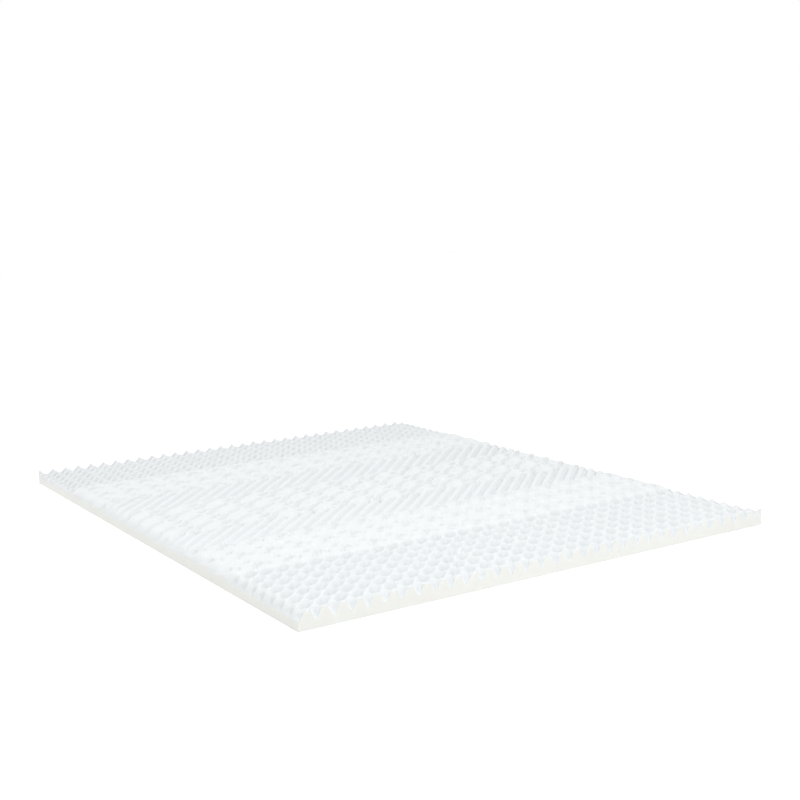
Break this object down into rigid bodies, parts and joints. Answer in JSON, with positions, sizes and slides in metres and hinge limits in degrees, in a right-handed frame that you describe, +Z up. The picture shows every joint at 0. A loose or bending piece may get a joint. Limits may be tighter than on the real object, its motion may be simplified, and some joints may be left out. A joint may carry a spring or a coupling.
{
  "type": "mattress topper",
  "caption": "Rectangular slab of bare foam with a flat underside, whose top is cut across the bed into bands of dimples, plates, diagonal ribs and blocks.",
  "frame": {"origin": "middle of the flat underside", "axes": "+X across the bed from the left edge to the right edge, +Y along the bed from the near edge to the far edge, +Z up through the thickness"},
  "size_m": [1.6, 2, 0.05],
  "materials": {
    "bare_foam": "uncovered soft foam, matt and open-celled, cool white on the relief and a little creamier on the cut sides"
  },
  "bodies": {
    "root": {"foam_pad": "bare_foam"}
  },
  "joints": []
}
